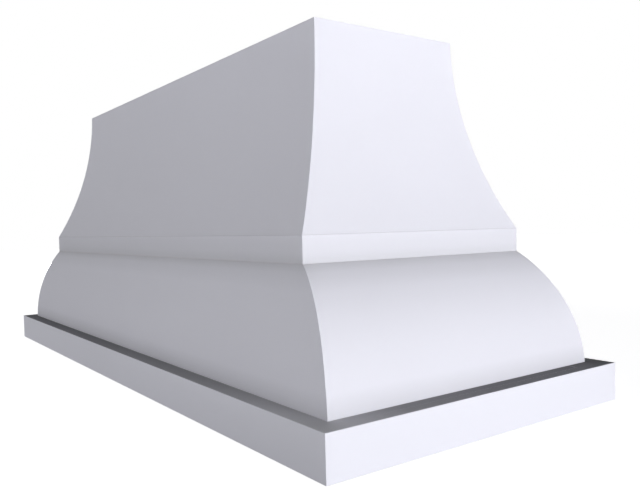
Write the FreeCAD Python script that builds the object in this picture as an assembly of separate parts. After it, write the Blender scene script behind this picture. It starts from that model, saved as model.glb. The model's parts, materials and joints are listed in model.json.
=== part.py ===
import FreeCAD, Part
import math
import os

# Island range hood cover in painted wood, finished on all four sides. Millimetres, +Z up.
# Origin: centre of the apron's underside. X runs along the hood, and the front faces -Y.
# Every side has the same order of forms: apron, flat ledge, bulging skirt, neck band, hollow body.
# "End" sizes belong to the left and right ends, "side" sizes to the long front and back.

# Outside form
HOOD_LENGTH = 1524.0
HOOD_DEPTH = 610.0
APRON_HEIGHT = 63.5
SKIRT_HEIGHT = 190.5
BAND_HEIGHT = 41.0
BODY_HEIGHT = 333.0
LEDGE_END = 37.0
LEDGE_SIDE = 31.0
SKIRT_RUN_END = 106.5
SKIRT_RUN_SIDE = 41.5
SKIRT_BULGE_END = 26.0
SKIRT_BULGE_SIDE = 10.2
BODY_RUN_END = 74.0
BODY_RUN_SIDE = 83.5
BODY_HOLLOW_END = 17.0
BODY_HOLLOW_SIDE = 20.0

# Boards and bent panels
APRON_THICKNESS = 19.0
BAND_THICKNESS = 19.0
PANEL_THICKNESS = 9.5
GLUE_LINE = 0.2

# Base frame: its top is the ledge, and its opening takes the ventilator insert from below
BASE_RAIL_THICKNESS = 19.0
BASE_RAIL_WIDTH_END = 73.0
BASE_RAIL_WIDTH_SIDE = 61.0
CORNER_BLOCK_LEG = 60.0
CORNER_BLOCK_RECESS = 3.0
INSERT_SCREW_SPACING = 1016.0
INSERT_SCREW_EDGE = 15.0
INSERT_PILOT_DIAMETER = 3.2
INSERT_PILOT_DEPTH = 13.0

# Neck frame inside the band
NECK_RAIL_THICKNESS = 19.0
NECK_RAIL_WIDTH = 64.0

# Ribs and corner posts behind the panels
RIB_THICKNESS = 18.0
RIB_SPACING = 320.0
BODY_RIB_HEAD = 30.0
POST_WIDTH = 38.0

# Top frame and the two rails that hang the hood from the joists
TOP_RAIL_THICKNESS = 19.0
TOP_RAIL_HEIGHT = 64.0
HANGING_RAIL_WIDTH = 38.0
HANGING_RAIL_HEIGHT = 38.0
JOIST_SPACING = 406.4
HANGER_HOLE_SPACING = 152.4
HANGER_HOLE_DIAMETER = 9.0

# Countersunk screws, drawn with flat sides
SCREW_LENGTH = 50.0
SCREW_SHANK_DIAMETER = 4.8
SCREW_HEAD_DIAMETER = 9.0
SCREW_TIP_LENGTH = 5.0
SCREW_TIP_DIAMETER = 1.0
END_RAIL_SCREW_PITCH = 32.0
HANGING_RAIL_SCREW_PITCH = 18.0
SCREW_CLEARANCE = 0.1
SCREW_FLATS = 8

# Levels
LEDGE_Z = APRON_HEIGHT
BASE_RAIL_LOW_Z = LEDGE_Z - BASE_RAIL_THICKNESS
NECK_Z = LEDGE_Z + SKIRT_HEIGHT
BAND_TOP_Z = NECK_Z + BAND_HEIGHT
RIM_Z = BAND_TOP_Z + BODY_HEIGHT
NECK_RAIL_LOW_Z = NECK_Z + (BAND_HEIGHT - NECK_RAIL_THICKNESS) / 2
NECK_RAIL_TOP_Z = NECK_RAIL_LOW_Z + NECK_RAIL_THICKNESS
TOP_RAIL_LOW_Z = RIM_Z - TOP_RAIL_HEIGHT
HANGING_RAIL_LOW_Z = RIM_Z - HANGING_RAIL_HEIGHT

# Ribs, posts and top rails lie this far behind the outer face.
BACKING_DEPTH = PANEL_THICKNESS + GLUE_LINE

CENTRE = FreeCAD.Vector(0, 0, 0)
ALONG_X = FreeCAD.Vector(1, 0, 0)
ALONG_Y = FreeCAD.Vector(0, 1, 0)
UP = FreeCAD.Vector(0, 0, 1)
BOTH_WAYS = (-1, 1)

pieces = {}


class Flank:
    """One curved stretch of a side: distance out from the centre plane against height."""

    def __init__(self, foot_out, head_out, foot_z, head_z, bulge):
        chord_out = head_out - foot_out
        chord_up = head_z - foot_z
        chord = math.hypot(chord_out, chord_up)
        # The radius is positive where the flank bulges and negative where it is hollow.
        self.radius = (chord * chord / 4 + bulge * bulge) / (2 * bulge)
        reach_back = self.radius - bulge
        self.centre_out = (foot_out + head_out) / 2 - reach_back * chord_up / chord
        self.centre_z = (foot_z + head_z) / 2 + reach_back * chord_out / chord

    def out(self, z, depth=0.0):
        """How far out the face is at a height, or one that lies parallel at a depth behind it."""
        reach = self.radius - depth
        across = math.sqrt(reach * reach - (z - self.centre_z) ** 2)
        return self.centre_out + math.copysign(across, reach)

    def curve(self, start_z, end_z, depth=0.0, shift=0.0, flip=1):
        """The arc from one height to another; shift moves it inwards and flip -1 mirrors it."""
        heights = (start_z, (start_z + end_z) / 2, end_z)
        places = [point(flip * (self.out(z, depth) - shift), z) for z in heights]
        return Part.Arc(*places).toShape()


class Profile:
    """The outline that a pair of opposite sides shares, with the frames that follow it."""

    def __init__(self, half, ledge, skirt_run, skirt_bulge, body_run, body_hollow, rail_width):
        self.half = half
        self.neck = half - ledge - skirt_run
        rim = self.neck - body_run
        self.skirt = Flank(half - ledge, self.neck, LEDGE_Z, NECK_Z, skirt_bulge)
        self.body = Flank(self.neck, rim, BAND_TOP_Z, RIM_Z, -body_hollow)
        # Each frame's rails run between an inner edge and an outer one.
        apron_back = half - APRON_THICKNESS
        self.base_rail = (apron_back - rail_width, apron_back)
        self.band_back = self.neck - BAND_THICKNESS
        self.neck_rail = (self.band_back - NECK_RAIL_WIDTH, self.band_back)
        top_rail_face = self.body.out(RIM_Z, BACKING_DEPTH)
        self.top_rail = (top_rail_face - TOP_RAIL_THICKNESS, top_rail_face)
        self.skirt_foot = self.skirt.out(LEDGE_Z, BACKING_DEPTH)
        self.skirt_head = self.skirt.out(NECK_Z, BACKING_DEPTH)
        self.body_foot = self.body.out(BAND_TOP_Z, BACKING_DEPTH)
        self.body_head = self.body.out(TOP_RAIL_LOW_Z, BACKING_DEPTH)


END = Profile(
    HOOD_LENGTH / 2,
    LEDGE_END,
    SKIRT_RUN_END,
    SKIRT_BULGE_END,
    BODY_RUN_END,
    BODY_HOLLOW_END,
    BASE_RAIL_WIDTH_END,
)
SIDE = Profile(
    HOOD_DEPTH / 2,
    LEDGE_SIDE,
    SKIRT_RUN_SIDE,
    SKIRT_BULGE_SIDE,
    BODY_RUN_SIDE,
    BODY_HOLLOW_SIDE,
    BASE_RAIL_WIDTH_SIDE,
)

# A side is drawn facing +X and turned into its place: angle, own profile, neighbours' profile.
SIDES = {
    "right": (0, END, SIDE),
    "back": (90, SIDE, END),
    "left": (180, END, SIDE),
    "front": (270, SIDE, END),
}
LONG_SIDES = ("front", "back")
CORNERS = {
    "front_left": (-1, -1),
    "front_right": (1, -1),
    "back_left": (-1, 1),
    "back_right": (1, 1),
}


def point(out, z):
    return FreeCAD.Vector(out, 0, z)


def lines(*points):
    return [Part.LineSegment(a, b).toShape() for a, b in zip(points, points[1:])]


def polygon(corners):
    return Part.Face(Part.makePolygon([*corners, corners[0]]))


def prism(edges, width):
    """A closed outline in the XZ plane, made into a solid that is centred on that plane."""
    solid = Part.Face(Part.Wire(edges)).extrude(ALONG_Y * width)
    return solid.translated(ALONG_Y * (-width / 2))


def block(low, high):
    """A box between two corners, given in any order."""
    near = FreeCAD.Vector(*map(min, low, high))
    far = FreeCAD.Vector(*map(max, low, high))
    size = far - near
    return Part.makeBox(size.x, size.y, size.z, near)


def turned(shape, angle):
    return shape.rotated(CENTRE, UP, angle)


def mirrored(shape, to_x, to_y):
    """A shape drawn in the +X +Y corner, moved to any corner."""
    shape = shape if to_x > 0 else shape.mirror(CENTRE, ALONG_X)
    return shape if to_y > 0 else shape.mirror(CENTRE, ALONG_Y)


def cut_from(names, tools):
    """Cut holes from the named pieces that they reach."""
    for name in names:
        near = [tool for tool in tools if tool.BoundBox.intersect(pieces[name].BoundBox)]
        if near:
            pieces[name] = pieces[name].cut(near)


def named(*starts):
    return [name for name in pieces if name.startswith(starts)]


# Outer shell


def mitred_board(own_face, other_face, thickness, low_z, high_z):
    """One board of a frame that is mitred at 45 degrees at both ends."""
    own_back = own_face - thickness
    other_back = other_face - thickness
    corners = (
        (own_face, -other_face),
        (own_face, other_face),
        (own_back, other_back),
        (own_back, -other_back),
    )
    plan = polygon([FreeCAD.Vector(x, y, low_z) for x, y in corners])
    return plan.extrude(UP * (high_z - low_z))


def bent_sheet(flank, low_z, high_z, width):
    """A sheet of even thickness that is bent along a flank."""
    outer = flank.curve(low_z, high_z)
    inner = flank.curve(high_z, low_z, PANEL_THICKNESS)
    head = lines(point(flank.out(high_z), high_z), point(flank.out(high_z, PANEL_THICKNESS), high_z))
    foot = lines(point(flank.out(low_z, PANEL_THICKNESS), low_z), point(flank.out(low_z), low_z))
    return prism([outer, *head, inner, *foot], width)


def space_between(flank, low_z, high_z, depth, width):
    """All that lies between a flank and its opposite one, or between faces behind them."""
    foot_out = flank.out(low_z, depth)
    head_out = flank.out(high_z, depth)
    rising = flank.curve(low_z, high_z, depth)
    falling = flank.curve(high_z, low_z, depth, flip=-1)
    head = lines(point(head_out, high_z), point(-head_out, high_z))
    foot = lines(point(-foot_out, low_z), point(foot_out, low_z))
    return prism([rising, *head, falling, *foot], width)


def curved_panel(own, other, low_z, high_z, lap, length):
    """A bent sheet whose two ends are cut to the curve of the sides next to it."""
    sheet = bent_sheet(own, low_z, high_z, length)
    neighbours = turned(space_between(other, low_z, high_z, lap, length), 90)
    return sheet.common(neighbours)


def build_shell():
    for side, (angle, own, other) in SIDES.items():
        apron = mitred_board(own.half, other.half, APRON_THICKNESS, 0, LEDGE_Z)
        band = mitred_board(own.neck, other.neck, BAND_THICKNESS, NECK_Z, BAND_TOP_Z)
        # The long panels lap over the edges of the end panels.
        lap = 0 if side in LONG_SIDES else PANEL_THICKNESS
        skirt = curved_panel(own.skirt, other.skirt, LEDGE_Z, NECK_Z, lap, HOOD_LENGTH)
        body = curved_panel(own.body, other.body, BAND_TOP_Z, RIM_Z, lap, HOOD_LENGTH)
        pieces["apron_" + side] = turned(apron, angle)
        pieces["neck_band_" + side] = turned(band, angle)
        pieces["skirt_panel_" + side] = turned(skirt, angle)
        pieces["body_panel_" + side] = turned(body, angle)


# Ribs and corner posts, which follow the panels' inner faces and are notched for the band


def skirt_backing(own):
    head = point(own.skirt_head, NECK_Z)
    notch = point(own.band_back, NECK_Z)
    shoulder = point(own.band_back, NECK_RAIL_LOW_Z)
    return [own.skirt.curve(LEDGE_Z, NECK_Z, BACKING_DEPTH), *lines(head, notch, shoulder)]


def body_backing(own):
    shoulder = point(own.band_back, NECK_RAIL_TOP_Z)
    notch = point(own.band_back, BAND_TOP_Z)
    foot = point(own.body_foot, BAND_TOP_Z)
    return [*lines(shoulder, notch, foot), own.body.curve(BAND_TOP_Z, TOP_RAIL_LOW_Z, BACKING_DEPTH)]


def skirt_rib(own):
    """A plywood rib from the base frame to the neck frame, with a straight back edge."""
    back = lines(
        point(own.band_back, NECK_RAIL_LOW_Z),
        point(own.neck_rail[0], NECK_RAIL_LOW_Z),
        point(own.base_rail[0], LEDGE_Z),
        point(own.skirt_foot, LEDGE_Z),
    )
    return prism(skirt_backing(own) + back, RIB_THICKNESS)


def body_rib(own):
    """A plywood rib from the neck frame to the top rail, with a straight back edge."""
    back = lines(
        point(own.body_head, TOP_RAIL_LOW_Z),
        point(own.body_head - BODY_RIB_HEAD, TOP_RAIL_LOW_Z),
        point(own.neck_rail[0], NECK_RAIL_TOP_Z),
        point(own.band_back, NECK_RAIL_TOP_Z),
    )
    return prism(body_backing(own) + back, RIB_THICKNESS)


def skirt_post_face(own, width):
    """A curved strip that is as wide in plan at every height: one pair of a post's faces."""
    inner_foot = own.skirt_foot - POST_WIDTH
    inner_head = own.skirt_head - POST_WIDTH
    head = lines(
        point(own.band_back, NECK_RAIL_LOW_Z),
        point(inner_head, NECK_RAIL_LOW_Z),
        point(inner_head, NECK_Z),
    )
    inner = own.skirt.curve(NECK_Z, LEDGE_Z, BACKING_DEPTH, POST_WIDTH)
    foot = lines(point(inner_foot, LEDGE_Z), point(own.skirt_foot, LEDGE_Z))
    return prism([*skirt_backing(own), *head, inner, *foot], width)


def body_post_face(own, width):
    inner_foot = own.body_foot - POST_WIDTH
    inner_head = own.body_head - POST_WIDTH
    head = lines(point(own.body_head, TOP_RAIL_LOW_Z), point(inner_head, TOP_RAIL_LOW_Z))
    inner = own.body.curve(TOP_RAIL_LOW_Z, BAND_TOP_Z, BACKING_DEPTH, POST_WIDTH)
    foot = lines(
        point(inner_foot, BAND_TOP_Z),
        point(inner_foot, NECK_RAIL_TOP_Z),
        point(own.band_back, NECK_RAIL_TOP_Z),
    )
    return prism([*body_backing(own), *head, inner, *foot], width)


def rib_places(side):
    """Names and places along the hood of the ribs of one side."""
    if side in LONG_SIDES:
        return {"_left": -RIB_SPACING, "_centre": 0, "_right": RIB_SPACING}
    return {"": 0}


def build_ribs():
    for side, (angle, own, _) in SIDES.items():
        for label, along in rib_places(side).items():
            place = ALONG_X * along
            pieces["skirt_rib_" + side + label] = turned(skirt_rib(own), angle).translated(place)
            pieces["body_rib_" + side + label] = turned(body_rib(own), angle).translated(place)


def build_posts():
    """Where two curved strips cross, they leave a post that fits both panels of the corner."""
    skirt_post = skirt_post_face(END, HOOD_DEPTH).common(turned(skirt_post_face(SIDE, HOOD_LENGTH), 90))
    body_post = body_post_face(END, HOOD_DEPTH).common(turned(body_post_face(SIDE, HOOD_LENGTH), 90))
    for corner, (to_x, to_y) in CORNERS.items():
        pieces["skirt_post_" + corner] = mirrored(skirt_post, to_x, to_y)
        pieces["body_post_" + corner] = mirrored(body_post, to_x, to_y)


# Frames


def build_lapped_frame(kind, end_span, side_span, low_z, high_z):
    """A flat frame with half-lapped corners: the long rails keep their upper half there."""
    spans = {END: end_span, SIDE: side_span}
    middle_z = (low_z + high_z) / 2
    for side, (angle, own, other) in SIDES.items():
        edge, face = spans[own]
        other_edge, other_face = spans[other]
        rail = block((edge, -other_face, low_z), (face, other_face, high_z))
        lost_z = low_z if side in LONG_SIDES else high_z
        for way in BOTH_WAYS:
            lap = block((edge, way * other_edge, middle_z), (face, way * other_face, lost_z))
            rail = rail.cut(lap)
        pieces[kind + side] = turned(rail, angle)


def build_base_frame():
    build_lapped_frame("base_rail_", END.base_rail, SIDE.base_rail, BASE_RAIL_LOW_Z, LEDGE_Z)
    pilot_y = SIDE.base_rail[0] + INSERT_SCREW_EDGE
    for to_x, to_y in CORNERS.values():
        mouth = FreeCAD.Vector(to_x * INSERT_SCREW_SPACING / 2, to_y * pilot_y, BASE_RAIL_LOW_Z)
        pilot = Part.makeCylinder(INSERT_PILOT_DIAMETER / 2, INSERT_PILOT_DEPTH, mouth)
        cut_from(named("base_rail_"), [pilot])


def build_corner_blocks():
    """Glue blocks in the apron's inner corners, under the base frame."""
    corner_x = END.base_rail[1]
    corner_y = SIDE.base_rail[1]
    plan = (
        (corner_x, corner_y),
        (corner_x - CORNER_BLOCK_LEG, corner_y),
        (corner_x, corner_y - CORNER_BLOCK_LEG),
    )
    outline = polygon([FreeCAD.Vector(x, y, CORNER_BLOCK_RECESS) for x, y in plan])
    wedge = outline.extrude(UP * (BASE_RAIL_LOW_Z - CORNER_BLOCK_RECESS))
    pieces["corner_blocks"] = Part.makeCompound([mirrored(wedge, *way) for way in CORNERS.values()])


def build_neck_frame():
    low_z, high_z = NECK_RAIL_LOW_Z, NECK_RAIL_TOP_Z
    build_lapped_frame("neck_rail_", END.neck_rail, SIDE.neck_rail, low_z, high_z)


def build_top_frame():
    """Rails on edge: the long ones run right through, and the end ones stand between them."""
    for side, (angle, own, other) in SIDES.items():
        back, face = own.top_rail
        reach = other.top_rail[1] if side in LONG_SIDES else other.top_rail[0]
        rail = block((back, -reach, TOP_RAIL_LOW_Z), (face, reach, RIM_Z))
        pieces["top_rail_" + side] = turned(rail, angle)


def build_hanging_rails():
    """Two rails across the top frame, drilled upright for the screws into the joists."""
    reach = SIDE.top_rail[0]
    for name, way in (("left", -1), ("right", 1)):
        centre_x = way * JOIST_SPACING / 2
        low = (centre_x - HANGING_RAIL_WIDTH / 2, -reach, HANGING_RAIL_LOW_Z)
        high = (centre_x + HANGING_RAIL_WIDTH / 2, reach, RIM_Z)
        pieces["hanging_rail_" + name] = block(low, high)
        for to_y in BOTH_WAYS:
            mouth = FreeCAD.Vector(centre_x, to_y * HANGER_HOLE_SPACING / 2, HANGING_RAIL_LOW_Z)
            hole = Part.makeCylinder(HANGER_HOLE_DIAMETER / 2, HANGING_RAIL_HEIGHT, mouth)
            cut_from(["hanging_rail_" + name], [hole])


# Screws


def screw(place, direction, clearance=0.0):
    """A countersunk wood screw with its head flush at place, or the hole that it cuts."""
    head = SCREW_HEAD_DIAMETER / 2 + clearance
    shank = SCREW_SHANK_DIAMETER / 2 + clearance
    tip = SCREW_TIP_DIAMETER / 2 + clearance
    outline = (
        (head, 0),
        (shank, head - shank),
        (shank, SCREW_LENGTH - SCREW_TIP_LENGTH),
        (tip, SCREW_LENGTH + clearance),
    )
    turn = FreeCAD.Rotation(UP, 360 / SCREW_FLATS)
    rings = []
    for radius, depth in outline:
        ring = [FreeCAD.Vector(radius, 0, depth)]
        while len(ring) < SCREW_FLATS:
            ring.append(turn.multVec(ring[-1]))
        rings.append(ring)
    faces = [polygon(rings[0]), polygon(rings[-1])]
    for lower, upper in zip(rings, rings[1:]):
        for i in range(SCREW_FLATS):
            faces.append(polygon([lower[i - 1], lower[i], upper[i], upper[i - 1]]))
    solid = Part.Solid(Part.Shell(faces))
    solid.Placement = FreeCAD.Placement(place, FreeCAD.Rotation(UP, direction))
    return solid


def fit_screws(group, seats, into):
    """Drill the named pieces for screws at (place, direction) seats, and put the screws in."""
    cut_from(into, [screw(place, direction, SCREW_CLEARANCE) for place, direction in seats])
    pieces[group] = Part.makeCompound([screw(place, direction) for place, direction in seats])


def fit_base_screws():
    """Up through the base frame into the foot of each rib and each corner post."""
    seats = []
    for side, (angle, own, _) in SIDES.items():
        foot_middle = FreeCAD.Vector((own.base_rail[0] + own.skirt_foot) / 2, 0, BASE_RAIL_LOW_Z)
        for along in rib_places(side).values():
            place = FreeCAD.Rotation(UP, angle).multVec(foot_middle) + ALONG_X * along
            seats.append((place, UP))
    for to_x, to_y in CORNERS.values():
        post_x = to_x * (END.skirt_foot - POST_WIDTH / 2)
        post_y = to_y * (SIDE.skirt_foot - POST_WIDTH / 2)
        seats.append((FreeCAD.Vector(post_x, post_y, BASE_RAIL_LOW_Z), UP))
    fit_screws("base_screws", seats, named("base_rail_", "skirt_rib_", "skirt_post_"))


def fit_rail_screws():
    """Through the long top rails into the ends of the end rails and of the hanging rails."""
    seats = []
    end_x = sum(END.top_rail) / 2
    end_z = (TOP_RAIL_LOW_Z + RIM_Z) / 2
    hanging_x = JOIST_SPACING / 2
    hanging_z = (HANGING_RAIL_LOW_Z + RIM_Z) / 2
    for to_x, to_y in CORNERS.values():
        face_y = to_y * SIDE.top_rail[1]
        for step in BOTH_WAYS:
            above = step * END_RAIL_SCREW_PITCH / 2
            beside = step * HANGING_RAIL_SCREW_PITCH / 2
            seats.append((FreeCAD.Vector(to_x * end_x, face_y, end_z + above), ALONG_Y * -to_y))
            seats.append((FreeCAD.Vector(to_x * hanging_x + beside, face_y, hanging_z), ALONG_Y * -to_y))
    fit_screws("rail_screws", seats, named("top_rail_", "hanging_rail_"))


def save_all():
    os.makedirs("parts", exist_ok=True)
    for name, shape in pieces.items():
        solid = shape.Solids[0] if len(shape.Solids) == 1 else shape
        solid.exportStep("parts/" + name + ".step")


build_shell()
build_ribs()
build_posts()
build_base_frame()
build_corner_blocks()
build_neck_frame()
build_top_frame()
build_hanging_rails()
fit_base_screws()
fit_rail_screws()
save_all()
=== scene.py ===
import json
import math
import bpy
from mathutils import Matrix, Vector


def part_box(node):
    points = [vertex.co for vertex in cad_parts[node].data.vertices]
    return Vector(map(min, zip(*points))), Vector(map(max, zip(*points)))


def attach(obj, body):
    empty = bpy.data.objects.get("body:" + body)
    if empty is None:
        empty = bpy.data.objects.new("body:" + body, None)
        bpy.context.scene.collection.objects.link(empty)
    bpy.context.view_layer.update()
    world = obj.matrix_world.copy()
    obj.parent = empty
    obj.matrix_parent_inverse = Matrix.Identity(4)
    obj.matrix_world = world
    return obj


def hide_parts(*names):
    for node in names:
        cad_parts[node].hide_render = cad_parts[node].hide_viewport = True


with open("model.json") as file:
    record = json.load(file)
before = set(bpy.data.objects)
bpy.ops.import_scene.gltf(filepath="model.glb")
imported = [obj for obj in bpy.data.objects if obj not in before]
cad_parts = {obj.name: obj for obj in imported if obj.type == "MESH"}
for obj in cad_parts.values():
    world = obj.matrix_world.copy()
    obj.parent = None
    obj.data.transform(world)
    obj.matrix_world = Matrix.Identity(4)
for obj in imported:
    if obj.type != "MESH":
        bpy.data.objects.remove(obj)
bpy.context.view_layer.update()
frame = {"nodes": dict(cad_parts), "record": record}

# White painted cover for an island range hood. Metres, +Z up, origin under the middle of the apron.
# X runs along the hood, and the front faces -Y. "End" sizes are the left's and right's, "side"
# sizes the front's and back's.

ROOT = "root"
AXES = ("X", "Y", "Z")
OPPOSITE = {"front": "back", "right": "left"}

# Boards and bent panels: thickness, and how far each curve bulges off its straight chord, less
# than nothing where it is hollow
BOARD = 0.019
PANEL = 0.0095
SKIRT_BULGE = {"end": 0.026, "side": 0.0102}
BODY_BULGE = {"end": -0.017, "side": -0.020}
PANEL_LEVELS = 30

# A panel's arris lies no further than this from its corner
CORNER_REACH = PANEL / 3

# Sanded edges: each is the width of the round
APRON_EDGE = 0.0011
BAND_EDGE = 0.0007
PANEL_EDGE = 0.0005
FRAME_EDGE = 0.0006
BOARD_EDGE_CUTS = 3
FINE_EDGE_CUTS = 2

# An edge that turns more than the first is a true edge, and one under the second is dissolved
SMOOTH_ANGLE = math.radians(33)
FLAT_ANGLE = math.radians(0.5)

# Points closer together than this are one
MERGE_DISTANCE = 0.000001

# Screws, as radii and lengths
SCREW_LENGTH = 0.050
SCREW_HEAD = 0.0045
SCREW_HEAD_RIM = 0.0003
SCREW_SHANK = 0.0024
SCREW_TIP = 0.0005
SCREW_TIP_LENGTH = 0.005
RECESS_FOOT = 0.0013
RECESS_MOUTH = 0.0029
RECESS_DEPTH = 0.0024

# Each screw is turned this much further than the one before it, in radians
SCREW_TURN = 2.4
SCREW_SIDES = 24
SCREW_GROUPS = ("base_screws", "rail_screws")

# A panel's face is bare wood where it looks inwards, or up or down, by more than this
BARE_SLOPE = 0.3
LEVEL_SLOPE = 0.9

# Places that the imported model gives
LEDGE_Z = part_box("apron_front")[1].z
NECK_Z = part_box("neck_band_front")[0].z
BAND_TOP_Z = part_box("neck_band_front")[1].z
RIM_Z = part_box("body_panel_front")[1].z
HALF = {"end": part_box("apron_right")[1].x, "side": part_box("apron_back")[1].y}
SKIRT_FOOT = {"end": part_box("skirt_panel_right")[1].x, "side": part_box("skirt_panel_back")[1].y}
NECK = {"end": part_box("neck_band_right")[1].x, "side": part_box("neck_band_back")[1].y}
RIM = {
    "end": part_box("body_panel_right")[0].x + PANEL,
    "side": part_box("body_panel_back")[0].y + PANEL,
}


# Finishes

# Paint: two tones that drift into each other as sprayed, a lighter pair of them painted on the
# apron as painted light, and how much its orange peel and its sags show in its relief
SPRAYED_TONES = ((0.832, 0.822, 0.880), (0.858, 0.848, 0.905))
PAINTED_LIGHT_TONES = ((0.870, 0.862, 0.920), (0.895, 0.887, 0.945))
PAINT_ROUGHNESS = 0.46
PAINT_ROUGHNESS_DRIFT = 0.10
PEEL_SHARE = 0.6
SAG_SHARE = 1.6
PAINT_RELIEF = 0.00012

# Painted shade in the creases above the ledge and round the neck band, as heights and how much
# shows there
PAINTED_SHADE_TONE = (0.455, 0.452, 0.462)
PAINTED_SHADE_AT = (
    (LEDGE_Z, 0.32),
    (LEDGE_Z + 0.0314, 0),
    (NECK_Z - 0.0377, 0),
    (NECK_Z - 0.0126, 0.16),
    (NECK_Z, 0.48),
    (NECK_Z + 0.0157, 0.30),
    (BAND_TOP_Z, 0.17),
)
PAINTED_SHADE_WANDER = 0.006

# Painted shade on level paint, from the corners where it is painted darkest to those where it is
# painted lightest
LEVEL_ROUGHNESS = 0.4
LEDGE_SHADE_TONES = (
    (0.0, (0.235, 0.233, 0.248)),
    (0.4, (0.305, 0.303, 0.322)),
    (0.75, (0.425, 0.422, 0.440)),
    (1.0, (0.80, 0.795, 0.83)),
)
LEDGE_SHADE_DRIFT = 0.16
# Painted shadow along the skirt's foot, and how much of it shows
FOOT_SHADOW_TONE = (0.12, 0.12, 0.127)
FOOT_SHADOW_SHARE = 0.5

# Plywood: the thickness of two layers, how far they waver, and how far from a layer's middle
# the glue starts, as a share of two layers
PLY_PAIR = 0.0028
PLY_WAVE = 0.0005
GLUE_FROM = 0.215
LONG_PLY_TONES = ((0.62, 0.46, 0.30), (0.74, 0.58, 0.40))
END_PLY_TONES = ((0.34, 0.21, 0.12), (0.50, 0.34, 0.21))
GLUE_TONE = (0.16, 0.09, 0.05)
VENEER_TONES = (
    (0.32, (0.52, 0.36, 0.22)),
    (0.48, (0.69, 0.52, 0.35)),
    (0.62, (0.78, 0.62, 0.44)),
)
VENEER_SLOPE = 0.5
STREAK_SHARE = 0.8
PORE_SHARE = 0.2
GLUE_SHARE = 0.7
GLUE_RIDGE = 0.6
PLYWOOD_ROUGHNESS = 0.62
PLYWOOD_RELIEF = 0.00015

# Poplar: its growth rings, pores and end grain are darker than its face
RINGS = 9.0
POPLAR_TONES = (
    (0.30, (0.50, 0.43, 0.29)),
    (0.46, (0.66, 0.57, 0.39)),
    (0.62, (0.76, 0.67, 0.48)),
)
RING_TONE = (0.42, 0.32, 0.17)
PORE_TONE = (0.40, 0.31, 0.18)
END_GRAIN_TONE = (0.36, 0.27, 0.15)
RING_SHARE = 0.28
PORE_TONE_SHARE = 0.30
END_GRAIN_SHARE = 0.55
END_SLOPE = 0.8
RING_RIDGE = 0.3
POPLAR_ROUGHNESS = 0.58
POPLAR_RELIEF = 0.00018

# How much rougher the pores and specks of bare wood are
WOOD_ROUGHNESS_DRIFT = 0.2

# Zinc
ZINC_TONES = ((0.55, 0.55, 0.50), (0.72, 0.71, 0.66))
ZINC_ROUGHNESS = 0.28
ZINC_ROUGHNESS_DRIFT = 0.22
SCRATCH_DEPTH = 0.00003

# How much of the white backdrop a gloss reflects
GLOSSY_BACKDROP = 0.3

# The Mix node's sockets for colours
MIX_FIRST = 6
MIX_SECOND = 7
MIX_RESULT = 2


class Value:
    """A number or colour that changes over the surface. Sums with it become Math nodes."""

    def __init__(self, graph, socket):
        self.graph = graph
        self.socket = socket

    def maths(self, operation, *terms):
        inputs = dict(enumerate(terms))
        return self.graph.node("ShaderNodeMath", {"operation": operation}, inputs)

    def __add__(self, other):
        return self.maths("ADD", self, other)

    def __radd__(self, other):
        return self.maths("ADD", other, self)

    def __sub__(self, other):
        return self.maths("SUBTRACT", self, other)

    def __rsub__(self, other):
        return self.maths("SUBTRACT", other, self)

    def __mul__(self, other):
        return self.maths("MULTIPLY", self, other)

    def __rmul__(self, other):
        return self.maths("MULTIPLY", other, self)

    def __truediv__(self, other):
        return self.maths("DIVIDE", self, other)

    def __rtruediv__(self, other):
        return self.maths("DIVIDE", other, self)

    def __mod__(self, other):
        return self.maths("FLOORED_MODULO", self, other)

    def __rmod__(self, other):
        return self.maths("FLOORED_MODULO", other, self)

    def __abs__(self):
        return self.maths("ABSOLUTE", self)

    def __gt__(self, other):
        return self.maths("GREATER_THAN", self, other)

    def __lt__(self, other):
        return self.maths("GREATER_THAN", other, self)

    def at_least(self, other):
        return self.maths("MAXIMUM", self, other)


class Graph:
    """A node tree with one way to add a node to it."""

    def __init__(self, tree):
        self.tree = tree
        tree.nodes.clear()

    def node(self, kind, settings=None, inputs=None, output=0):
        """Add a node: its settings first, then the values or links of its sockets."""
        node = self.tree.nodes.new(kind)
        for key, setting in (settings or {}).items():
            if key == "stops":
                self.set_stops(node.color_ramp, setting)
            else:
                setattr(node, key, setting)
        for key, value in (inputs or {}).items():
            self.feed(node.inputs[key], value)
        return Value(self, node.outputs[output]) if node.outputs else None

    def feed(self, socket, value):
        if isinstance(value, Value):
            self.tree.links.new(value.socket, socket)
        else:
            socket.default_value = value

    @staticmethod
    def set_stops(ramp, stops):
        while len(ramp.elements) < len(stops):
            ramp.elements.new(0)
        for element, (position, colour) in zip(ramp.elements, stops):
            element.position = position
            element.color = (*colour, 1)

    def seen(self):
        """1 for what is seen straight or through glass, and less for what a gloss reflects."""
        camera, through, gloss = (
            self.node("ShaderNodeLightPath", output="Is " + kind + " Ray")
            for kind in ("Camera", "Transmission", "Glossy")
        )
        return camera + through + GLOSSY_BACKDROP * gloss


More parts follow.
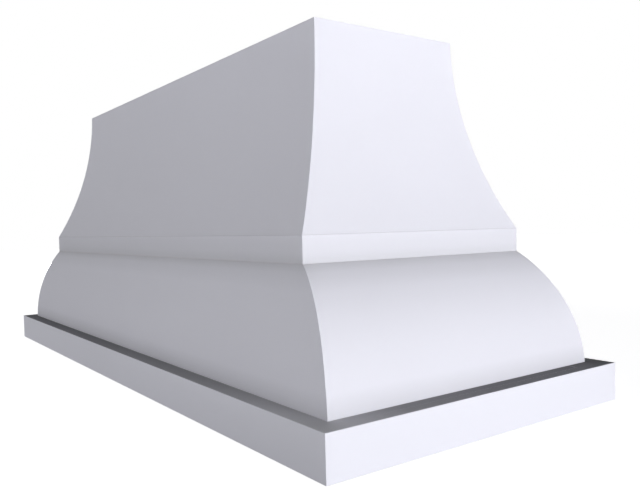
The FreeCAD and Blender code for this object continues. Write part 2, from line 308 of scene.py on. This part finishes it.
class Finish(Graph):
    """One material, built from nodes around a Principled shader."""

    def __init__(self, name, **plain):
        self.material = bpy.data.materials.new(name)
        self.material.use_nodes = True
        super().__init__(self.material.node_tree)
        surface = self.node("ShaderNodeBsdfPrincipled")
        self.shader = surface.socket.node
        self.node("ShaderNodeOutputMaterial", inputs={"Surface": surface})
        for socket, value in plain.items():
            self.shader.inputs[socket.replace("_", " ")].default_value = value
        self.place = self.node("ShaderNodeTexCoord", output="Object")

    def along(self, axis):
        return self.node("ShaderNodeSeparateXYZ", inputs={0: self.place}, output=axis)

    def stretched(self, scale):
        return self.node("ShaderNodeMapping", inputs={"Vector": self.place, "Scale": scale})

    def noise(self, scale, detail=2, roughness=0.5, vector=None):
        inputs = {
            "Vector": vector or self.place,
            "Scale": scale,
            "Detail": detail,
            "Roughness": roughness,
        }
        return self.node("ShaderNodeTexNoise", inputs=inputs)

    def ramp(self, value, *stops):
        return self.node("ShaderNodeValToRGB", {"stops": stops}, {0: value})

    def blend(self, factor, first, second):
        """Mix two colours, each given as three numbers or as a value."""
        colours = [c if isinstance(c, Value) else (*c, 1) for c in (first, second)]
        inputs = {"Factor": factor, MIX_FIRST: colours[0], MIX_SECOND: colours[1]}
        return self.node("ShaderNodeMix", {"data_type": "RGBA"}, inputs, MIX_RESULT)

    def bump(self, height, distance, strength):
        inputs = {"Height": height, "Distance": distance, "Strength": strength}
        return self.node("ShaderNodeBump", inputs=inputs)

    def slope(self, axis):
        """How squarely the surface faces along an axis, from 1 through 0 to -1 if it faces back."""
        normal = self.node("ShaderNodeNewGeometry", output="True Normal")
        return self.node("ShaderNodeSeparateXYZ", inputs={0: normal}, output=axis)

    def done(self, colour, roughness, normal):
        self.feed(self.shader.inputs["Base Color"], colour)
        self.feed(self.shader.inputs["Roughness"], roughness)
        self.feed(self.shader.inputs["Normal"], normal)
        return self.material


def across(axis, along, crosswise):
    """Texture scales for grain that runs along an axis."""
    return tuple(along if name == axis else crosswise for name in AXES)


def crease_shaded_paint(finish, clean):
    """Paint with painted shade above the ledge and round the neck, at heights that wander a little.
    """
    wander = PAINTED_SHADE_WANDER * finish.noise(5.0) - PAINTED_SHADE_WANDER / 2
    stops = [(height / RIM_Z, (share,) * 3) for height, share in PAINTED_SHADE_AT]
    crease_shade_share = finish.ramp((finish.along("Z") + wander) / RIM_Z, *stops)
    return finish.blend(crease_shade_share, clean, PAINTED_SHADE_TONE)


def painted_ledge_shade(finish):
    """Painted shade on the ledge, lightest at two opposite corners, and a painted shadow along the
    skirt's foot.
    """
    x, y = finish.along("X"), finish.along("Y")
    toward_lighter_corners = abs(x / HALF["end"] - y / HALF["side"]) * 0.5
    drift = LEDGE_SHADE_DRIFT * finish.noise(7.0, detail=4) - LEDGE_SHADE_DRIFT / 2
    # Painted shade, lighter towards two opposite corners as light falls on the ledge
    ledge_shade = finish.ramp(toward_lighter_corners + drift, *LEDGE_SHADE_TONES)
    past_end = (abs(x) - SKIRT_FOOT["end"]) / (HALF["end"] - SKIRT_FOOT["end"])
    past_side = (abs(y) - SKIRT_FOOT["side"]) / (HALF["side"] - SKIRT_FOOT["side"])
    margin = past_end.at_least(past_side)
    # Painted shadow along the skirt's foot
    foot_shadow = FOOT_SHADOW_SHARE * (1 - margin) * (1 - toward_lighter_corners)
    return finish.blend(foot_shadow, ledge_shade, FOOT_SHADOW_TONE)


def make_paint():
    """Satin paint: lighter on the apron as painted light, with painted shade from there to the
    body, and painted shade where level.
    """
    finish = Finish("white_satin_paint", Specular_IOR_Level=0.35)
    drift = finish.noise(2.3, detail=3)
    clean = finish.blend(drift, *SPRAYED_TONES)
    # A lighter copy of the paint for the apron: painted light
    lit_apron = finish.blend(drift, *PAINTED_LIGHT_TONES)
    height = finish.along("Z")
    # Painted shade in the creases above the ledge and round the neck band
    crease_shaded = crease_shaded_paint(finish, clean)
    lower = finish.blend(height > LEDGE_Z + MERGE_DISTANCE, lit_apron, crease_shaded)
    upright = finish.blend(height > BAND_TOP_Z, lower, clean)
    level = finish.slope("Z") > LEVEL_SLOPE
    # Painted shade on level paint such as the ledge
    colour = finish.blend(level, upright, painted_ledge_shade(finish))
    sheen = PAINT_ROUGHNESS + PAINT_ROUGHNESS_DRIFT * finish.noise(11.0)
    roughness = sheen + LEVEL_ROUGHNESS * level
    peel = finish.noise(520.0)
    sag = finish.noise(60.0)
    relief = peel * PEEL_SHARE + sag * SAG_SHARE
    normal = finish.bump(relief, PAINT_RELIEF, strength=0.35)
    return finish.done(colour, roughness, normal)


def make_plywood(axis):
    """Birch plywood whose layers are stacked along an axis."""
    finish = Finish("birch_plywood_" + axis.lower())
    depth = finish.along(axis) + finish.noise(14.0) * PLY_WAVE
    layer = (depth / PLY_PAIR) % 1.0
    crossed = layer > 0.5
    glue = abs(layer % 0.5 - 0.25) > GLUE_FROM
    speck = finish.noise(900.0)
    long_ply = finish.blend(speck, *LONG_PLY_TONES)
    end_ply = finish.blend(speck, *END_PLY_TONES)
    plies = finish.blend(crossed, long_ply, end_ply)
    edge = finish.blend(glue * GLUE_SHARE, plies, GLUE_TONE)
    grain = "Z" if axis != "Z" else "X"
    long_grain = finish.stretched(across(grain, along=2.2, crosswise=60.0))
    fine_grain = finish.stretched(across(grain, along=40.0, crosswise=1400.0))
    streaks = finish.noise(1.0, detail=5, roughness=0.62, vector=long_grain)
    pores = finish.noise(1.0, vector=fine_grain)
    veneer = finish.ramp(streaks * STREAK_SHARE + pores * PORE_SHARE, *VENEER_TONES)
    face = abs(finish.slope(axis)) > VENEER_SLOPE
    colour = finish.blend(face, edge, veneer)
    roughness = PLYWOOD_ROUGHNESS + WOOD_ROUGHNESS_DRIFT * speck
    normal = finish.bump(pores + glue * GLUE_RIDGE, PLYWOOD_RELIEF, strength=0.5)
    return finish.done(colour, roughness, normal)


def make_timber(axis):
    """Planed poplar with its grain along an axis."""
    finish = Finish("planed_poplar_" + axis.lower())
    bend = finish.noise(3.0)
    long_grain = finish.stretched(across(axis, along=0.5, crosswise=9.0))
    fine_grain = finish.stretched(across(axis, along=30.0, crosswise=1100.0))
    rings = finish.noise(1.6, detail=3, roughness=0.55, vector=long_grain)
    growth = (rings * RINGS + bend) % 1.0
    pores = finish.noise(1.0, detail=3, roughness=0.6, vector=fine_grain)
    tone = finish.noise(1.2, detail=3, vector=long_grain)
    face = finish.ramp(tone, *POPLAR_TONES)
    lined = finish.blend(growth * RING_SHARE, face, RING_TONE)
    speckled = finish.blend(pores * PORE_TONE_SHARE, lined, PORE_TONE)
    end = abs(finish.slope(axis)) > END_SLOPE
    colour = finish.blend(end * END_GRAIN_SHARE, speckled, END_GRAIN_TONE)
    roughness = POPLAR_ROUGHNESS + WOOD_ROUGHNESS_DRIFT * pores
    normal = finish.bump(pores + growth * RING_RIDGE, POPLAR_RELIEF, strength=0.5)
    return finish.done(colour, roughness, normal)


def make_zinc():
    """Bright zinc plate on the screws."""
    finish = Finish("zinc_plate", Metallic=1.0)
    cloud = finish.noise(260.0, detail=3)
    colour = finish.blend(cloud, *ZINC_TONES)
    roughness = ZINC_ROUGHNESS + ZINC_ROUGHNESS_DRIFT * cloud
    normal = finish.bump(finish.noise(2600.0), SCRATCH_DEPTH, strength=0.4)
    return finish.done(colour, roughness, normal)


paint = make_paint()
plywood = {axis: make_plywood(axis) for axis in AXES}
timber = {axis: make_timber(axis) for axis in AXES}
zinc = make_zinc()


# Modelling helpers


def select_only(piece):
    bpy.ops.object.select_all(action="DESELECT")
    piece.select_set(True)
    bpy.context.view_layer.objects.active = piece


def edit(piece, mode="FACE"):
    select_only(piece)
    bpy.ops.object.mode_set(mode="EDIT")
    bpy.ops.mesh.select_mode(type=mode)
    bpy.ops.mesh.select_all(action="DESELECT")


def pick_edges(piece, wanted):
    """Select the edges whose two ends satisfy wanted."""
    bpy.ops.object.mode_set(mode="OBJECT")
    mesh = piece.data
    for edge in mesh.edges:
        ends = [mesh.vertices[i].co for i in edge.vertices]
        edge.select = wanted(*ends)
    bpy.ops.object.mode_set(mode="EDIT")


def finish_edit():
    """Turn all faces outwards and leave edit mode."""
    bpy.ops.mesh.select_all(action="SELECT")
    bpy.ops.mesh.normals_make_consistent(inside=False)
    bpy.ops.object.mode_set(mode="OBJECT")


def smooth(piece):
    """Even shading on curves and rounds, while flat faces stay flat."""
    select_only(piece)
    bpy.ops.object.shade_smooth_by_angle(angle=SMOOTH_ANGLE)
    even = piece.modifiers.new("even", "WEIGHTED_NORMAL")
    even.keep_sharp = True
    bpy.ops.object.modifier_apply(modifier=even.name)


def place(piece):
    """The finished piece keeps its place in its mesh, with its object at the origin."""
    select_only(piece)
    bpy.ops.object.transform_apply(location=True, rotation=True, scale=True)


def half_turned(piece, name):
    """A copy for the opposite side of the hood."""
    select_only(piece)
    bpy.ops.object.duplicate()
    copy = bpy.context.active_object
    copy.name = name
    copy.data.name = name
    copy.rotation_euler.z = math.pi
    place(copy)
    return copy


def settle(piece, slot, *nodes):
    """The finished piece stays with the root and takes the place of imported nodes."""
    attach(piece, ROOT)
    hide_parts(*nodes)


# Outer shell


class Flank:
    """The round curve of one side, from its foot to its head."""

    def __init__(self, foot_out, head_out, foot_z, head_z, bulge):
        chord = math.hypot(head_out - foot_out, head_z - foot_z)
        self.radius = (chord * chord / 4 + bulge * bulge) / (2 * bulge)
        reach = self.radius - bulge
        self.centre_out = (foot_out + head_out) / 2 - reach * (head_z - foot_z) / chord
        self.centre_z = (foot_z + head_z) / 2 + reach * (head_out - foot_out) / chord

    def out(self, z, depth=0.0):
        """How far from the middle it stands at a height, or a layer that far under it."""
        reach = self.radius - depth
        aside = math.sqrt(reach * reach - (z - self.centre_z) ** 2)
        return self.centre_out + math.copysign(aside, reach)


def end_and_side(foot_out, head_out, foot_z, head_z, bulge):
    """The curves of both ends and of both long sides."""
    return {
        side: Flank(foot_out[side], head_out[side], foot_z, head_z, bulge[side])
        for side in HALF
    }


def bent_panel(name, flank, neighbour, foot_z, head_z, lapped):
    """A panel that faces -Y, drawn up level by level from its foot. A lapped one ends flush
    with its neighbours' faces, and the others end behind it."""
    levels = [foot_z + (head_z - foot_z) * i / PANEL_LEVELS for i in range(PANEL_LEVELS + 1)]
    cover = 0.0 if lapped else PANEL
    sections = []
    for z in levels:
        outer, inner = flank.out(z), flank.out(z, PANEL)
        sections.append((neighbour.out(z, cover), (outer + inner) / 2, (outer - inner) / 2, z))
    reach, middle, wall, z = sections[0]
    bpy.ops.object.select_all(action="DESELECT")
    bpy.ops.mesh.primitive_plane_add(size=2, location=(0, -middle, z))
    panel = bpy.context.active_object
    panel.name = panel.data.name = name
    panel.scale = (reach, wall, 1)
    place(panel)
    edit(panel)
    bpy.ops.mesh.select_all(action="SELECT")
    for next_reach, next_middle, next_wall, next_z in sections[1:]:
        step = (0, middle - next_middle, next_z - z)
        bpy.ops.mesh.extrude_region_move(TRANSFORM_OT_translate={"value": step})
        widen = (next_reach / reach, next_wall / wall, 1)
        bpy.ops.transform.resize(value=widen, center_override=(0, -next_middle, next_z))
        reach, middle, wall, z = next_reach, next_middle, next_wall, next_z
    finish_edit()
    if lapped:
        ease_corners(panel, flank, neighbour)
    smooth(panel)
    return panel


def ease_corners(panel, flank, neighbour):
    """Sand the two curved arrises of a lapped panel."""

    def at_corner(point):
        beside = abs(point.x) > neighbour.out(point.z) - CORNER_REACH
        return beside and -point.y > flank.out(point.z) - CORNER_REACH

    edit(panel, "EDGE")
    pick_edges(panel, lambda a, b: a.z != b.z and at_corner(a) and at_corner(b))
    bpy.ops.mesh.bevel(offset=PANEL_EDGE, segments=FINE_EDGE_CUTS, affect="EDGES")
    finish_edit()


def mitred_board(name, half, other_half, low_z, high_z, edge):
    """A board that faces -Y: a block whose back is shortened to the mitres, with eased edges."""
    centre = (0, -(half - BOARD / 2), (low_z + high_z) / 2)
    bpy.ops.object.select_all(action="DESELECT")
    bpy.ops.mesh.primitive_cube_add(size=2, location=centre)
    board = bpy.context.active_object
    board.name = board.data.name = name
    board.scale = (other_half, BOARD / 2, (high_z - low_z) / 2)
    place(board)
    edit(board)
    back = BOARD / 2 - half
    pick_edges(board, lambda a, b: a.y > back and b.y > back)
    shorten = ((other_half - BOARD) / other_half, 1, 1)
    bpy.ops.transform.resize(value=shorten, center_override=(0, BOARD - half, 0))
    front_face = BOARD / 4 - half
    pick_edges(board, lambda a, b: max(a.y, b.y) < front_face and abs(a.z - b.z) < edge)
    bpy.ops.mesh.bevel(offset=edge, segments=BOARD_EDGE_CUTS, affect="EDGES")
    finish_edit()
    smooth(board)
    return board


def paint_outside(piece, raw):
    """Paint what faces out or sideways, and leave a panel's back, foot and head bare."""
    piece.data.materials.append(paint)
    piece.data.materials.append(raw)
    for face in piece.data.polygons:
        bare = face.normal.y > BARE_SLOPE or abs(face.normal.z) > LEVEL_SLOPE
        face.material_index = 1 if bare else 0


def all_round(kind, node_kind, front, right, slot):
    """A front piece, one drawn facing -Y that is turned to the right end, and their opposites."""
    right.rotation_euler.z = math.pi / 2
    place(right)
    for side, piece in (("front", front), ("right", right)):
        piece.name = piece.data.name = kind + side
        copy = half_turned(piece, kind + OPPOSITE[side])
        settle(piece, slot, node_kind + side)
        settle(copy, slot, node_kind + OPPOSITE[side])


def build_shell():
    skirt = end_and_side(SKIRT_FOOT, NECK, LEDGE_Z, NECK_Z, SKIRT_BULGE)
    body = end_and_side(NECK, RIM, BAND_TOP_Z, RIM_Z, BODY_BULGE)
    for kind, node_kind, flanks, foot, head in (
        ("bent_skirt_", "skirt_panel_", skirt, LEDGE_Z, NECK_Z),
        ("bent_body_", "body_panel_", body, BAND_TOP_Z, RIM_Z),
    ):
        front = bent_panel(kind, flanks["side"], flanks["end"], foot, head, True)
        right = bent_panel(kind, flanks["end"], flanks["side"], foot, head, False)
        paint_outside(front, plywood["Y"])
        paint_outside(right, plywood["X"])
        all_round(kind, node_kind, front, right, "painted_wood")
    for kind, node_kind, outs, foot, head, edge in (
        ("apron_board_", "apron_", HALF, 0.0, LEDGE_Z, APRON_EDGE),
        ("neck_board_", "neck_band_", NECK, NECK_Z, BAND_TOP_Z, BAND_EDGE),
    ):
        front = mitred_board(kind, outs["side"], outs["end"], foot, head, edge)
        right = mitred_board(kind, outs["end"], outs["side"], foot, head, edge)
        for board in (front, right):
            board.data.materials.append(paint)
        all_round(kind, node_kind, front, right, "painted_wood")


# Frame, ribs and posts


def axis_of(pick, node):
    """The axis along which a node measures most, or least."""
    low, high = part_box(node)
    spans = [high[i] - low[i] for i in range(3)]
    return AXES[spans.index(pick(spans))]


def frame_finish(node, slot):
    """Plywood lies in layers across its thickness, and timber's grain runs along its length."""
    if slot == "birch_plywood":
        return plywood[axis_of(min, node)]
    if slot == "poplar":
        return timber["Z" if node == "corner_blocks" else axis_of(max, node)]
    return paint


def merged_copy(node, name):
    """A node's shape with its triangles merged, on an object of its own."""
    copy = bpy.data.objects.new(name, frame["nodes"][node].data.copy())
    copy.data.name = name
    bpy.context.scene.collection.objects.link(copy)
    edit(copy, "VERT")
    bpy.ops.mesh.select_all(action="SELECT")
    bpy.ops.mesh.customdata_custom_splitnormals_clear()
    bpy.ops.mesh.remove_doubles(threshold=MERGE_DISTANCE)
    bpy.ops.mesh.dissolve_limited(angle_limit=FLAT_ANGLE)
    bpy.ops.object.mode_set(mode="OBJECT")
    return copy


def eased_board(node, slot):
    """A board as the frame gives it, with its arrises sanded off."""
    board = merged_copy(node, "eased_" + node)
    ease = board.modifiers.new("ease", "BEVEL")
    ease.width = FRAME_EDGE
    ease.segments = FINE_EDGE_CUTS
    ease.limit_method = "ANGLE"
    ease.angle_limit = SMOOTH_ANGLE
    bpy.ops.object.modifier_apply(modifier=ease.name)
    smooth(board)
    board.data.materials.clear()
    board.data.materials.append(frame_finish(node, slot))
    settle(board, slot, node)


def build_frame_boards():
    """All the wood that the outer shell hides or carries."""
    other = ("apron_", "neck_band_", "skirt_panel_", "body_panel_") + SCREW_GROUPS
    for entry in frame["record"]["subparts"]:
        if not entry["node"].startswith(other):
            eased_board(entry["node"], entry["material_slot"])


# Screws


def model_screw():
    """A countersunk screw with a square recess: head at the origin, tip straight below."""
    bpy.ops.object.select_all(action="DESELECT")
    bpy.ops.mesh.primitive_circle_add(vertices=SCREW_SIDES, radius=SCREW_HEAD, fill_type="NGON")
    screw = bpy.context.active_object
    edit(screw)
    bpy.ops.mesh.select_all(action="SELECT")
    radius, depth = SCREW_HEAD, 0.0
    for next_radius, next_depth in (
        (SCREW_HEAD, SCREW_HEAD_RIM),
        (SCREW_SHANK, SCREW_HEAD_RIM + SCREW_HEAD - SCREW_SHANK),
        (SCREW_SHANK, SCREW_LENGTH - SCREW_TIP_LENGTH),
        (SCREW_TIP, SCREW_LENGTH),
    ):
        drop = (0, 0, depth - next_depth)
        bpy.ops.mesh.extrude_region_move(TRANSFORM_OT_translate={"value": drop})
        taper = next_radius / radius
        bpy.ops.transform.resize(value=(taper, taper, 1), center_override=(0, 0, -next_depth))
        radius, depth = next_radius, next_depth
    finish_edit()
    bpy.ops.object.select_all(action="DESELECT")
    bpy.ops.mesh.primitive_cone_add(
        vertices=4,
        radius1=RECESS_FOOT,
        radius2=RECESS_MOUTH,
        depth=2 * RECESS_DEPTH,
    )
    driver = bpy.context.active_object
    recess = screw.modifiers.new("recess", "BOOLEAN")
    recess.object = driver
    select_only(screw)
    bpy.ops.object.modifier_apply(modifier=recess.name)
    bpy.data.objects.remove(driver)
    smooth(screw)
    screw.data.materials.append(zinc)
    return screw


def screw_seats(node):
    """Head and direction of each screw of a packed group: up from below, or in from outside."""
    group = merged_copy(node, node + "_seats")
    edit(group)
    bpy.ops.mesh.separate(type="LOOSE")
    bpy.ops.object.mode_set(mode="OBJECT")
    seats = []
    for part in list(bpy.context.selected_objects):
        points = [vertex.co.copy() for vertex in part.data.vertices]
        low = Vector(min(point[i] for point in points) for i in range(3))
        high = Vector(max(point[i] for point in points) for i in range(3))
        head = (low + high) / 2
        if high.z - low.z > high.y - low.y:
            head.z = low.z
            direction = Vector((0, 0, 1))
        else:
            head.y = high.y if head.y > 0 else low.y
            direction = Vector((0, -1 if head.y > 0 else 1, 0))
        seats.append((head, direction))
        bpy.data.objects.remove(part)
    return sorted(seats, key=lambda seat: tuple(seat[0]))


def build_screws():
    """A copy of the screw in each packed screw's place, each turned by another angle."""
    pattern = model_screw()
    for node in SCREW_GROUPS:
        screws = []
        for number, (head, direction) in enumerate(screw_seats(node)):
            screw = bpy.data.objects.new(node, pattern.data.copy())
            bpy.context.scene.collection.objects.link(screw)
            turn = Matrix.Rotation(SCREW_TURN * number, 4, "Z")
            aim = Vector((0, 0, -1)).rotation_difference(direction).to_matrix().to_4x4()
            screw.matrix_world = Matrix.Translation(head) @ aim @ turn
            screws.append(screw)
        select_only(screws[0])
        for screw in screws:
            screw.select_set(True)
        bpy.ops.object.join()
        group = bpy.context.active_object
        group.name = group.data.name = "square_drive_" + node
        place(group)
        settle(group, "zinc_steel", node)
    bpy.data.objects.remove(pattern)


build_shell()
build_frame_boards()
build_screws()


# Camera

CAMERA_PLACE = (1.4029, -0.7670, 0.3059)
CAMERA_YAW = math.radians(54.254)
CAMERA_PITCH = math.radians(2.13)
CAMERA_ROLL = math.radians(-1.435)
CAMERA_LENS = 38.305
SENSOR_WIDTH = 36


def build_camera():
    """The camera faces the right front corner from half the hood's height."""
    yaw, pitch = CAMERA_YAW, CAMERA_PITCH
    level = math.cos(pitch)
    back = Vector((math.sin(yaw) * level, -math.cos(yaw) * level, math.sin(pitch)))
    right = (-back).cross(Vector((0, 0, 1))).normalized()
    up = right.cross(-back)
    turned_right = right * math.cos(CAMERA_ROLL) + up * math.sin(CAMERA_ROLL)
    turned_up = up * math.cos(CAMERA_ROLL) - right * math.sin(CAMERA_ROLL)
    camera = bpy.data.objects.new("camera", bpy.data.cameras.new("camera"))
    bpy.context.scene.collection.objects.link(camera)
    axes = Matrix((turned_right, turned_up, back)).transposed().to_4x4()
    camera.matrix_world = Matrix.Translation(CAMERA_PLACE) @ axes
    camera.data.lens = CAMERA_LENS
    camera.data.sensor_width = SENSOR_WIDTH
    bpy.context.scene.camera = camera


# Studio

FLOOR_HALF = 12.0
FLOOR_DROP = 0.0005
FLOOR_TONES = ((0.58, 0.58, 0.59), (0.62, 0.62, 0.63))

# The floor's own glow, where it is seen: this much near the hood, and full white far from it
FLOOR_GLOW = 0.85
NEAR_FLOOR = 1.2
FAR_FLOOR = 4.0

ROOM_LIGHT = 0.07
BACKDROP_LIGHT = 1.0
WHITE = (1, 1, 1)
COOL_WHITE = (0.955, 0.97, 1.0)
HOOD_MIDDLE = (0, 0, 0.3)
RIGHT_END = (0.6, 0, 0.3)
LEFT_END = (-0.6, 0, 0.3)

# Name, place, what it faces, size, watts and spread of each lamp
SOFT_PANELS = (
    ("right_panel", (6.0, 0.6, 0.35), RIGHT_END, (2.4, 0.5), 256, math.pi),
    ("front_panel", (-1.5, -6.0, 1.9), HOOD_MIDDLE, (3.6, 0.6), 131, math.pi),
    ("left_panel", (-6.0, 0.8, 0.4), LEFT_END, (2.0, 0.6), 235, math.pi),
    ("back_panel", (0.4, 6.0, 0.6), HOOD_MIDDLE, (3.0, 0.6), 105, math.pi),
    ("top_panel", (0, 0, 2.4), (0, 0, 0), (1.04, 0.24), 0.8, 0.03),
    ("right_floor_wash", (1.9, -0.1, 1.8), (1.9, -0.1, 0), (0.6, 1.4), 16, 0.7),
    ("front_floor_wash", (0.7, -1.1, 1.8), (0.7, -1.1, 0), (1.2, 0.4), 5.5, 0.7),
)


def build_floor():
    """A pale floor that fades into the backdrop."""
    bpy.ops.object.select_all(action="DESELECT")
    bpy.ops.mesh.primitive_plane_add(size=2 * FLOOR_HALF, location=(0, 0, -FLOOR_DROP))
    floor = bpy.context.active_object
    floor.name = "floor"
    finish = Finish("pale_floor", Roughness=0.9, Specular_IOR_Level=0.1, Emission_Strength=1.0)
    colour = finish.blend(finish.noise(1.5), *FLOOR_TONES)
    finish.feed(finish.shader.inputs["Base Color"], colour)
    length = {"operation": "LENGTH"}
    distance = finish.node("ShaderNodeVectorMath", length, {0: finish.place}, "Value")
    white = finish.ramp(
        distance / FLOOR_HALF,
        (NEAR_FLOOR / FLOOR_HALF, (FLOOR_GLOW,) * 3),
        (FAR_FLOOR / FLOOR_HALF, WHITE),
    )
    glow = finish.blend(finish.seen(), (0, 0, 0), white)
    finish.feed(finish.shader.inputs["Emission Color"], glow)
    floor.data.materials.append(finish.material)


def build_world():
    """Dim room light all round, in front of a white backdrop."""
    world = bpy.data.worlds.new("studio")
    bpy.context.scene.world = world
    world.use_nodes = True
    graph = Graph(world.node_tree)
    room, backdrop = (
        graph.node("ShaderNodeBackground", inputs={"Color": (*WHITE, 1), "Strength": strength})
        for strength in (ROOM_LIGHT, BACKDROP_LIGHT)
    )
    sky = graph.node("ShaderNodeMixShader", inputs={0: graph.seen(), 1: room, 2: backdrop})
    graph.node("ShaderNodeOutputWorld", inputs={"Surface": sky})


def hang_panel(name, spot, aim, size, power, spread):
    """A lamp the size of a studio panel, which neither the camera nor a reflection shows."""
    lamp = bpy.data.lights.new(name, "AREA")
    lamp.shape = "RECTANGLE"
    lamp.size, lamp.size_y = size
    lamp.energy = power
    lamp.spread = spread
    lamp.color = COOL_WHITE
    panel = bpy.data.objects.new(name, lamp)
    bpy.context.scene.collection.objects.link(panel)
    panel.location = spot
    panel.rotation_euler = (Vector(aim) - Vector(spot)).to_track_quat("-Z", "Y").to_euler()
    panel.visible_camera = False
    panel.visible_glossy = False


build_camera()
build_floor()
build_world()
for soft_panel in SOFT_PANELS:
    hang_panel(*soft_panel)
bpy.context.scene.view_settings.view_transform = "Standard"
